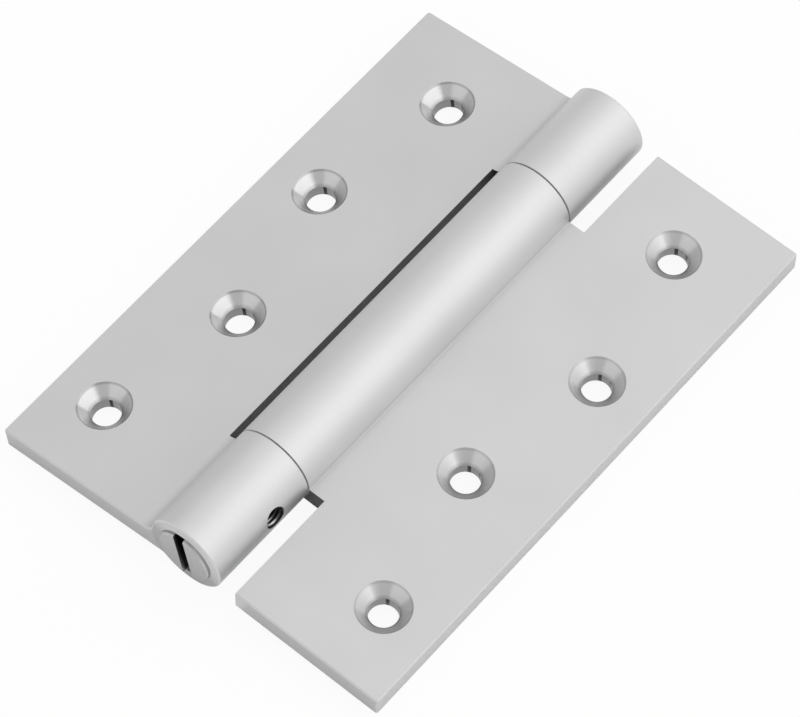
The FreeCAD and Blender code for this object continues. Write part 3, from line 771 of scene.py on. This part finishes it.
spring_steel = turned_finish("spring_steel", level=0.26, dullness=0.30)
middle = len(wire_sections) // 2
half_way = (coil_foot + coil_top) / 2
for name, sections, bodies, start, end in (
        ("wound_spring_lower", wire_sections[:middle + 1], ("tensioner", "frame"), coil_foot, half_way),
        ("wound_spring_upper", wire_sections[middle:], ("frame", "door"), half_way, coil_top)):
    wire = make_mesh_object(name, *sweep_rings(sections), smooth=True)
    wire.data.materials.append(spring_steel)
    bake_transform(wire)
    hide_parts("torsion_spring")
    print(f"{name}: {len(wire.data.polygons)} faces")

# %% [markdown]
# ## The table
# The hinge was photographed on a white table that blends into a white wall.
# The floor is a wide plain sheet, just under the hinge. To the camera it is nearly white by itself, and
# the rest of its tone comes from the light that falls on it, so the hinge still casts its soft shadow
# there. A backdrop that curves up behind the hinge would do the same job with one more piece.

# %% Lay the floor
FLOOR_SIZE = 6.0
FLOOR_DROP = 0.0002
FLOOR_TONE, FLOOR_DULLNESS = 0.95, 0.9
bpy.ops.mesh.primitive_plane_add(size=FLOOR_SIZE, location=(0, 0, -FLOOR_DROP))
floor = bpy.context.object
floor.name = "floor"
floor_finish = Finish("pale_floor")
floor_finish.shader.inputs["Base Color"].default_value = (FLOOR_TONE, FLOOR_TONE, FLOOR_TONE, 1)
floor_finish.shader.inputs["Roughness"].default_value = FLOOR_DULLNESS
floor.data.materials.append(floor_finish.material)
print("floor laid")

# %% [markdown]
# ### What the metal mirrors of the table
# Metal near the table mirrors it. What lies under the hinge is in its shade and mirrors dark, and the
# floor grows white again within about a thumb's width. The two gaps beside the outer knuckles and the
# eight screw holes let daylight through to the table, so the metal round them mirrors a lighter patch
# there: the undersides of the knuckles, and the lower part of each countersink on the frame leaf.
# The render could find this shade by itself from many bounces of light, but the glow that makes the
# floor white would cover it, so the shade is drawn where the open leaves leave it.

# %% Find the open floor
HALF_WIDTH, HALF_LENGTH = 46 * MM, 63 * MM
SHADE_WIDTH = 30 * MM
DEEP_SHADE = 0.03
GAP_START, GAP_BLUR, GAP_LIGHT = 40 * MM, 4 * MM, 0.8
GAP_NEAR, GAP_FAR = 8.5 * MM, 12.0 * MM
PATCH_SHIFT, PATCH_RADIUS, PATCH_BLUR = 0.45 * MM, 2.9, 0.4
PATCH_LIMIT = 60 * MM
parts = floor_finish.split(floor_finish.add("ShaderNodeTexCoord").outputs["Object"])
across = floor_finish.sum("ABSOLUTE", parts["X"])
along = floor_finish.sum("ABSOLUTE", parts["Y"])
beyond = [floor_finish.sum("MAXIMUM", floor_finish.sum("SUBTRACT", distance, half), 0.0)
          for distance, half in ((across, HALF_WIDTH), (along, HALF_LENGTH))]
round_hinge = floor_finish.spread(floor_finish.length(*beyond), 0.0, SHADE_WIDTH,
                                  DEEP_SHADE, 1.0, smooth=True)
below_gap = floor_finish.product(
    floor_finish.spread(along, GAP_START, GAP_START + GAP_BLUR, 0.0, GAP_LIGHT),
    floor_finish.past(parts["X"], GAP_NEAR, 0.5 * MM),
    floor_finish.under(parts["X"], GAP_FAR, 0.6 * MM))
outer, inner = hole_rows(
    floor_finish,
    floor_finish.sum("DIVIDE", floor_finish.sum("ADD", across, PATCH_SHIFT), MM),
    floor_finish.sum("DIVIDE", parts["Y"], MM))
below_hole = floor_finish.product(
    floor_finish.under(floor_finish.sum("MINIMUM", outer[2], inner[2]), PATCH_RADIUS, PATCH_BLUR),
    floor_finish.under(along, PATCH_LIMIT, 1 * MM))
open_floor = floor_finish.sum("MAXIMUM", round_hinge, below_gap)
open_floor = floor_finish.sum("MAXIMUM", open_floor, below_hole)
print(f"the floor is open {SHADE_WIDTH / MM:.0f} mm from the hinge")

# %% [markdown]
# A Light Path node tells what kind of ray has hit the floor. For a ray straight from the camera the
# floor glows white, and for one that comes off metal it glows where it is open. All other rays see the
# plain pale floor. A stronger lamp would whiten the floor too, but the hinge would grow lighter with it.

# %% Let the floor glow
GLOW_COVER = 0.92
path = floor_finish.add("ShaderNodeLightPath")
mirrored = floor_finish.sum("MAXIMUM", path.outputs["Is Glossy Ray"],
                            path.outputs["Is Transmission Ray"])
mirrored = floor_finish.product(mirrored, open_floor)
seen = floor_finish.sum("MAXIMUM", path.outputs["Is Camera Ray"], mirrored)
glow = floor_finish.add("ShaderNodeEmission")
glow.inputs["Color"].default_value = (1, 1, 1, 1)
glow.inputs["Strength"].default_value = 1.0
cover = floor_finish.add("ShaderNodeMixShader")
floor_finish.feed(cover.inputs["Fac"], floor_finish.product(seen, GLOW_COVER))
floor_finish.feed(cover.inputs[1], floor_finish.shader.outputs["BSDF"])
floor_finish.feed(cover.inputs[2], glow.outputs["Emission"])
floor_finish.feed(floor_finish.output.inputs["Surface"], cover.outputs["Shader"])
print(f"the glow covers {GLOW_COVER:.0%} of the floor's own tone")

# %% [markdown]
# ## Light
# Satin metal shows the room more than it shows the lamps, so the room matters most.
# A picture of a real room would give livelier reflections, but a plain pale one gives the even tone
# that the photograph has.

# %% Paint the room
ROOM_LEVEL = 0.62
world = bpy.data.worlds.new("pale_room")
bpy.context.scene.world = world
world.use_nodes = True
room = Wiring(world.node_tree)
room.tree.nodes.clear()
room_light = room.add("ShaderNodeBackground")
room_light.inputs["Color"].default_value = (1, 1, 1, 1)
room_light.inputs["Strength"].default_value = ROOM_LEVEL
room_output = room.add("ShaderNodeOutputWorld")
room.feed(room_output.inputs["Surface"], room_light.outputs["Background"])
print("room level:", ROOM_LEVEL)

# %% [markdown]
# One large soft lamp, high on the right, draws the long highlight along the barrel, a second one overhead
# keeps the leaves light, and a weak one low in front brightens the far side of each countersink.
# Small bright lamps would do too, but they would draw hard white lines on the metal. Each lamp is set by
# how bright its face looks, and its power is worked out from that, so it can grow without growing brighter.

# %% Hang the lamps
def hang_lamp(name, toward, distance, size, radiance):
    """Hang a square soft lamp in a direction from the hinge, as bright as stated."""
    lamp = bpy.data.lights.new(name, "AREA")
    lamp.shape = "RECTANGLE"
    lamp.size, lamp.size_y = size
    lamp.energy = radiance * math.pi * size[0] * size[1]
    holder = bpy.data.objects.new(name, lamp)
    direction = Vector(toward).normalized()
    holder.location = direction * distance
    holder.rotation_mode = "QUATERNION"
    holder.rotation_quaternion = direction.to_track_quat("Z", "Y")
    bpy.context.scene.collection.objects.link(holder)
    print(f"{name}: {lamp.energy:.2f} W")


hang_lamp("side_lamp", toward=(0.64, 0.39, 0.66), distance=1.4, size=(2.2, 1.6), radiance=0.77)
hang_lamp("top_lamp", toward=(-0.25, 0.30, 0.92), distance=1.3, size=(1.8, 1.8), radiance=0.3)
hang_lamp("front_lamp", toward=(-0.28, -0.87, 0.41), distance=1.5, size=(1.7, 1.2), radiance=0.25)

# %% [markdown]
# ## The camera
# The hinge is seen from above its slotted end, across one corner, through a long lens from about
# an arm's length, with the camera leaning a little to one side.
# A camera can be placed by eye. This one's place, aim and lean come from matching the corners and holes
# of the hinge, because then the render and the photograph can be laid over each other.

# %% Set the camera
CAMERA_PLACE = Vector((331.89, -354.51, 773.04)) * MM
CAMERA_HEADING = Vector((-0.363932, 0.387136, -0.847159))
CAMERA_LEAN = math.radians(-3.733)
LENS = 211.6
camera_data = bpy.data.cameras.new("camera")
camera_data.sensor_fit = "HORIZONTAL"
camera_data.sensor_width = 36.0
camera_data.lens = LENS
camera_data.clip_start, camera_data.clip_end = 0.05, 20.0
camera = bpy.data.objects.new("camera", camera_data)
camera.location = CAMERA_PLACE
camera.rotation_mode = "QUATERNION"
camera.rotation_quaternion = (CAMERA_HEADING.to_track_quat("-Z", "Y")
                              @ Quaternion((0, 0, 1), CAMERA_LEAN))
bpy.context.scene.collection.objects.link(camera)
bpy.context.scene.camera = camera
bpy.context.scene.view_settings.view_transform = "Standard"
print("camera at", [round(number, 3) for number in camera.location])
